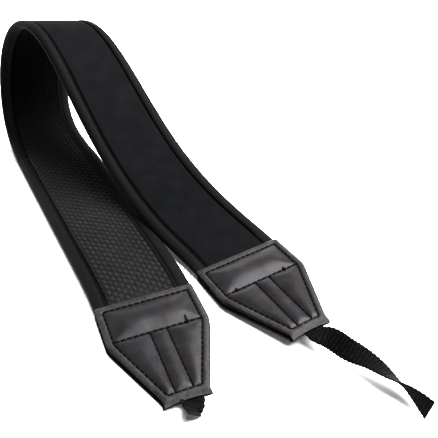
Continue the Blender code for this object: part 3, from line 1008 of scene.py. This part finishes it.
def add_outline_grid(name, rows=ROWS):
    """A grid whose rows follow the outline and whose columns follow the seams."""
    per_side = INNER_COLUMNS + MIDDLE_COLUMNS + MARGIN_COLUMNS
    grid = add_primitive(
        "grid", name, (2 * per_side, rows, 1), size=1,
        x_subdivisions=2 * per_side, y_subdivisions=rows,
    )
    index = places_of(grid)
    row = rows / 2 - index[:, 1]
    along = np.interp(row * ROWS / rows, *zip(*ROW_STOPS))
    half = half_width(along)
    counts = (0, INNER_COLUMNS, INNER_COLUMNS + MIDDLE_COLUMNS, per_side)
    across = [
        np.interp(column, counts, (0, CHANNEL_STITCH, side - SIDE_INSET, side))
        for column, side in zip(np.abs(index[:, 0]), half)
    ]
    return grid, along, np.array(across) * np.sign(index[:, 0]), half


def sewn_height(along, across):
    """Height of the leather before it is stuffed: down at its stitches, its margin rolled over."""
    to_side = to_side_seam(along, across)
    between = np.minimum(to_side, np.minimum(along - TOP_STITCH, END_STITCH - along)) > -ON_SEAM
    stitched = between & (to_seams(along, across) < ON_SEAM)
    level = rim_height(along) - np.where(stitched, STITCH_SINK, 0)
    out = np.maximum(-to_side, np.maximum(TOP_STITCH - along, along - END_STITCH))
    roll = np.clip(out / SIDE_INSET, 0, 1.35)
    rolled = MARGIN_ROLL * (np.sin(math.pi * roll**0.8) - 0.9 * roll**4)
    slant, counter_slant = along * 0.9 + across * 0.35, across * 0.7 - along * 0.22
    level += np.where(out > ON_SEAM, rolled, 0)
    level += np.where(out > ON_SEAM, MARGIN_RIPPLE * np.sin(slant) * np.sin(counter_slant), 0)
    return level


def stuff(front, along, across):
    """Blows the sewn leather up between its seams, and returns how far it rose, in mm."""
    level = sewn_height(along, across)
    set_places(front, np.column_stack([across, -along, level]) * MM * CLOTH_SCALE)
    sewn = front.vertex_groups.new(name="sewn")
    sewn.add(np.flatnonzero(to_seams(along, across) < ON_SEAM).tolist(), 1.0, "REPLACE")
    activate(front)
    cloth = front.modifiers.new("stuffing", "CLOTH")
    leather_sheet = cloth.settings
    leather_sheet.quality = 6
    leather_sheet.mass = 0.05
    leather_sheet.vertex_group_mass = "sewn"
    leather_sheet.tension_stiffness = leather_sheet.compression_stiffness = 40
    leather_sheet.shear_stiffness = 16
    leather_sheet.bending_stiffness = 0.5
    leather_sheet.use_pressure = True
    leather_sheet.uniform_pressure_force = 100
    leather_sheet.shrink_min = leather_sheet.shrink_max = -0.007
    leather_sheet.effector_weights.gravity = 0
    cloth.collision_settings.use_collision = False
    cloth.point_cache.frame_start, cloth.point_cache.frame_end = 1, CLOTH_FRAMES
    for number in range(1, CLOTH_FRAMES + 1):
        bpy.context.scene.frame_set(number)
    bpy.ops.object.modifier_apply(modifier=cloth.name)
    front.vertex_groups.clear()
    bpy.context.scene.frame_set(1)
    places = places_of(front) / CLOTH_SCALE
    places[:, 2] = np.minimum(places[:, 2], (level + MOST_SWELL) * MM)
    set_places(front, places)
    return (places[:, 2] / MM - level).max()


def close_below(sheet):
    """Extrudes an open sheet down into a closed body, and returns the body's lower points."""
    pick_all(sheet)
    bpy.ops.mesh.extrude_region_move(TRANSFORM_OT_translate={"value": (0, 0, -DROP)})
    face_outwards(sheet)
    return places_of(sheet)[:, 2] < -DROP / 4


def add_front_leather(pose):
    front, along, across, half = add_outline_grid(f"{pose.name}_front_leather")
    rise = stuff(front, along, across)
    places = places_of(front)
    places[:, 1] += end_hollow(along, across / half) * MM
    set_places(front, places)
    to_end_seams = np.minimum(along - TOP_STITCH, END_STITCH - along)
    to_edge_seam = np.minimum(to_side_seam(along, across), to_end_seams)
    on_seam = (to_seams(along, across) < ON_SEAM) & (to_edge_seam > -ON_SEAM)
    keep_as(front, "margin", np.clip(-to_edge_seam / MARGIN_FADE, 0, 1))
    # Points on a seam get painted shade in the leather's finish.
    keep_as(front, "painted_groove_shade", on_seam)
    apply_modifier(front, "SUBSURF", levels=1, render_levels=1, boundary_smooth="PRESERVE_CORNERS")
    lower = close_below(front)
    places = places_of(front)
    places[lower, 2] = (rim_height(-places[lower, 1] / MM) - LEATHER) * MM
    set_places(front, places)
    round_rim(front)
    lay_on_tab(front, pose)
    print(pose.name, "leather rose", round(rise, 2), "mm between its seams")
    return front


def round_rim(piece):
    """Rounds the sharp edges round a leather."""
    pick(piece, "EDGE", lambda middles, ways: np.zeros(len(middles)))
    bpy.ops.mesh.edges_select_sharp(sharpness=math.radians(60))
    bpy.ops.mesh.bevel(
        offset=RIM_ROUNDING, segments=2, affect="EDGES", loop_slide=False, clamp_overlap=True
    )
    bpy.ops.object.mode_set(mode="OBJECT")


def mark_cut_edge(piece, pose):
    """Gives the side walls of a leather the second finish."""
    up = tab_place(pose).col[2].xyz.normalized()
    for face in piece.data.polygons:
        face.material_index = int(abs(face.normal.dot(up)) < WALL_LEAN)


for pose in TABS:
    front = add_front_leather(pose)
    fit(front, (tab_leather, cut_edge), [f"{pose.name}_tab_front"], smooth=50)
    mark_cut_edge(front, pose)

# %% [markdown]
# ## The back leather and the filling
# From the side a tab is a stack: the front leather, a black filling that is cut a little
# smaller, and the back leather, which stands out a little. The filling is left out where the
# band's end and the webbing go in. Both are slabs over the same outline.

# %% The back leather
BACK_LEATHER = 1.3


def outline_slab(name, pose, inset, start, end, low, high):
    """A closed slab over the tab's outline, from one height function to another."""
    slab, along, across, half = add_outline_grid(name, rows=ROWS // 2)
    share = (along - OUTLINE[0].along) / (OUTLINE[-1].along - OUTLINE[0].along)
    along = start + (end - start) * share
    back = end_hollow(along, across / half) - along
    across = across / half * (half_width(along) - inset)
    set_places(slab, np.column_stack([across, back, np.zeros(len(along))]) * MM)
    lower = close_below(slab)
    places = places_of(slab)
    along, across = -places[:, 1] / MM, places[:, 0] / MM
    places[:, 2] = np.where(lower, low(along, across), high(along, across)) * MM
    set_places(slab, places)
    lay_on_tab(slab, pose)
    return slab


def add_back_leather(pose):
    back = outline_slab(
        f"{pose.name}_back_leather", pose, -BACK_PROUD, OUTLINE[0].along - BACK_PROUD,
        OUTLINE[-1].along - BACK_SHORT, low=lambda along, across: 0 * along,
        high=lambda along, across: 0 * along + BACK_LEATHER,
    )
    fit(back, (backing_leather, cut_edge), [f"{pose.name}_tab_back"])
    mark_cut_edge(back, pose)


# %% The filling
WEBBING_ASIDE, SLOT_START, SLOT_HALF, SLOT_TOP = 1.4, 43.0, 6.3, 2.65
FILLING_INSET, FILLING_START, FILLING_SHORT = 0.6, 13.2, 1.8
THINNEST, GLUE = 0.1, 0.02


def add_filling(pose):
    def low(along, across):
        over_webbing = (along > SLOT_START) & (np.abs(across - WEBBING_ASIDE) < SLOT_HALF)
        return np.where(over_webbing, SLOT_TOP, BACK_LEATHER + GLUE)

    def high(along, across):
        return np.maximum(rim_height(along) - LEATHER - GLUE, low(along, across) + THINNEST)

    filling = outline_slab(
        f"{pose.name}_filling", pose, FILLING_INSET, FILLING_START,
        OUTLINE[-1].along - FILLING_SHORT, low, high,
    )
    fit(filling, backing_leather, [f"{pose.name}_tab_back"])


for pose in TABS:
    add_back_leather(pose)
    add_filling(pose)

# %% [markdown]
# ## The stitches of the tabs
# The seams are straight lines with a black stitch every 3 mm. The same kind of stitch as on the
# band is made once for each tab, copied to its places along every line, and the copies are
# joined. The seams between the channels have a finer thread, with hardly a gap between its
# stitches. Where the thread of the cross seam ends, it is tied in a small knot.

# %% The lines of the seams
SHOULDER = 26.3
SeamLine = namedtuple("SeamLine", "name points")


def seam_lines():
    """Each seam of a tab as points (across, along) in mm, where it turns."""
    turns = [(to_side_seam(along, 0), along) for along in (TOP_STITCH, SHOULDER, END_STITCH)]
    left_turns = [(-side, along) for side, along in turns]
    round_the_edge = [left_turns[0], *turns, *left_turns[::-1]]
    cross = to_side_seam(CROSS_STITCH, 0)
    lines = [
        SeamLine("edge", round_the_edge),
        SeamLine("cross", [(-cross, CROSS_STITCH), (cross, CROSS_STITCH)]),
    ]
    for across in (-CHANNEL_STITCH, CHANNEL_STITCH):
        lines.append(SeamLine("channel", [(across, CROSS_STITCH), (across, END_STITCH)]))
    return lines


TAB_STITCH_STEP = 3.1
TAB_STITCH_LENGTH, TAB_THREAD = 2.5 * MM, 0.9 * MM
TAB_STITCH_SINK = 0.02
CHANNEL_THREAD = Matrix.Diagonal((0.6, 1.12, 0.75, 1))
Knot = namedtuple("Knot", "across tail")
KNOTS = {"left": (Knot(14.6, 2.6),), "right": (Knot(-15.5, 0.5), Knot(14.1, 0.5))}
KNOT_SIZE = (2.1 * MM, 1.8 * MM, 1.3 * MM)
KNOT_LIFT = 0.3
TailStep = namedtuple("TailStep", "share rise")
TAIL = (TailStep(0.25, 0.125), TailStep(0.35, 0.15), TailStep(0.4, 0.05))
THINNER = (0.9, 0.4, 0.9)


def tail_root(_, normals):
    """The faces of a knot that look back along the tab and a little up."""
    return (normals[:, 1] > 0.8) & (normals[:, 2] > 0) & (normals[:, 2] < 0.6)


def add_knot(name, knot):
    """A knot on the cross seam: a squashed ball of thread with its cut end lying back from it."""
    place = Vector((knot.across, -CROSS_STITCH, rim_height(CROSS_STITCH) + KNOT_LIFT)) * MM
    ball = add_primitive("uv_sphere", name, KNOT_SIZE, place, segments=12, ring_count=8, radius=0.5)
    pick(ball, "FACE", tail_root)
    for share, rise in TAIL:
        step = {"value": (0, knot.tail * share * MM, knot.tail * rise * MM)}
        bpy.ops.mesh.extrude_region_move(TRANSFORM_OT_translate=step)
        bpy.ops.transform.resize(value=THINNER)
    face_outwards(ball)
    return ball


def add_tab_stitches(pose):
    first = add_stitch(f"{pose.name}_tab_stitches", TAB_STITCH_LENGTH, TAB_THREAD, 0.0)
    copies = []
    for line in seam_lines():
        for start, end in zip(line.points, line.points[1:]):
            start, end = np.array(start), np.array(end)
            number = max(1, round(np.linalg.norm(end - start) / TAB_STITCH_STEP))
            turn = Matrix.Rotation(math.atan2(-(end - start)[0], -(end - start)[1]), 4, "Z")
            size = CHANNEL_THREAD if line.name == "channel" else Matrix.Identity(4)
            for i in range(number):
                across, along = start + (end - start) * (i + 0.5) / number
                copy = first.copy()
                copy.data = first.data.copy()
                bpy.context.scene.collection.objects.link(copy)
                place = Vector((across, -along, rim_height(along) - TAB_STITCH_SINK)) * MM
                copy.data.transform(Matrix.Translation(place) @ turn @ size)
                copies.append(copy)
    bpy.data.objects.remove(first)
    knots = [add_knot(f"{pose.name}_knot", knot) for knot in KNOTS[pose.name]]
    stitches = join(copies + knots, f"{pose.name}_tab_stitches")
    lay_on_tab(stitches, pose)
    fit(stitches, thread_black, [f"{pose.name}_tab_front"])
    print(len(copies), "stitches on the", pose.name, "tab")


for pose in TABS:
    add_tab_stitches(pose)

# %% [markdown]
# ## The webbing ends
# The webbing is a stiff flat strap, 11 mm wide. Its weft stands out in crosswise ribs, and each
# rib makes a small scallop at the edges. One rib is made from a ring of points that is extruded
# along, an Array modifier repeats it, and the strip is then laid on its own line, which turns
# about itself on the way. It is modelled directly, as webbing keeps its flat section.

# %% The folds of the webbing
Fold = namedtuple("Fold", "x y z roll")
WEBBING_HELD = {"left": (46.0, 60.0, 64.5, 67.6), "right": (46.0, 60.0, 64.5, 67.6, 69.6)}
WEBBING_SEAT = 1.9
WEBBING_WIDTH, WEBBING_THICKNESS = 11 * MM, 1.2 * MM
POINTS_ALONG_WEBBING = 200
FOLDS = {
    "left": (Fold(-11.6, -142.5, 4.7, -39), Fold(-9.8, -146.1, 4.8, -50)),
    "right": (
        Fold(50.1, -104.2, 7.2, 18),
        Fold(58.6, -111.3, 6.9, 30),
        Fold(67.3, -118.3, 6.8, -1),
        Fold(74.8, -126.7, 6.5, -29),
        Fold(81.7, -135.5, 6.6, -72),
        Fold(87.4, -145.1, 6.3, -105),
    ),
}


def webbing_line(pose):
    held = [Vector((WEBBING_ASIDE, -along, WEBBING_SEAT)) * MM for along in WEBBING_HELD[pose.name]]
    rows = [(*(tab_place(pose) @ each / MM), pose.roll) for each in held]
    rows += [(*table_place(fold.x, fold.y, fold.z), fold.roll) for fold in FOLDS[pose.name]]
    rows = np.array(rows)
    knots = chord_lengths(rows[:, :3])
    at = np.linspace(0, knots[-1], POINTS_ALONG_WEBBING)
    fine = natural_spline(knots, rows, at)
    along = unit(np.gradient(fine[:, :3], at, axis=0))
    level = unit(np.cross((0.0, 0.0, 1.0), along))
    upright = np.cross(along, level)
    roll = np.radians(fine[:, 3])[:, None]
    return Line(fine[:, :3] * MM, level * np.cos(roll) + upright * np.sin(roll))


# %% Making a webbing end
WEFT_STEP, WEFT_ROWS = 1.9 * MM, 6
SCALLOP, WEFT_LIFT = 0.4 * MM, 0.26 * MM
WEBBING_COLUMNS = np.linspace(-1, 1, 13)
SQUARENESS, RIB_POWER, SCALLOP_POWER = 10, 0.7, 6


def add_webbing(pose):
    line = webbing_line(pose)
    side, half = WEBBING_WIDTH / 2 - SCALLOP, WEBBING_THICKNESS / 2 - WEFT_LIFT
    upper = np.sqrt(1 - np.abs(WEBBING_COLUMNS) ** SQUARENESS)
    upper = np.column_stack([side * WEBBING_COLUMNS, half * upper])
    section = np.concatenate([upper, upper[-2:0:-1] * (1, -1)])
    piece = add_stretch(f"{pose.name}_webbing_end", section, WEFT_STEP, WEFT_ROWS)
    places = places_of(piece)
    rib = np.abs(np.sin(math.pi * places[:, 1] / WEFT_STEP)) ** RIB_POWER
    to_edge = (np.abs(places[:, 0]) / side) ** SCALLOP_POWER
    places[:, 0] += np.sign(places[:, 0]) * SCALLOP * rib * to_edge
    places[:, 2] += WEFT_LIFT * rib * places[:, 2] / half
    set_places(piece, places)
    keep_as(piece, "ridge", rib)
    repeat_stretch(piece, WEFT_STEP, round(line.length / WEFT_STEP), line.length)
    line.lay(piece)
    fit(piece, webbing_yarn, [f"{pose.name}_webbing"])
    print(pose.name, "webbing is", round(line.length / MM), "mm long in all")


for pose in TABS:
    add_webbing(pose)
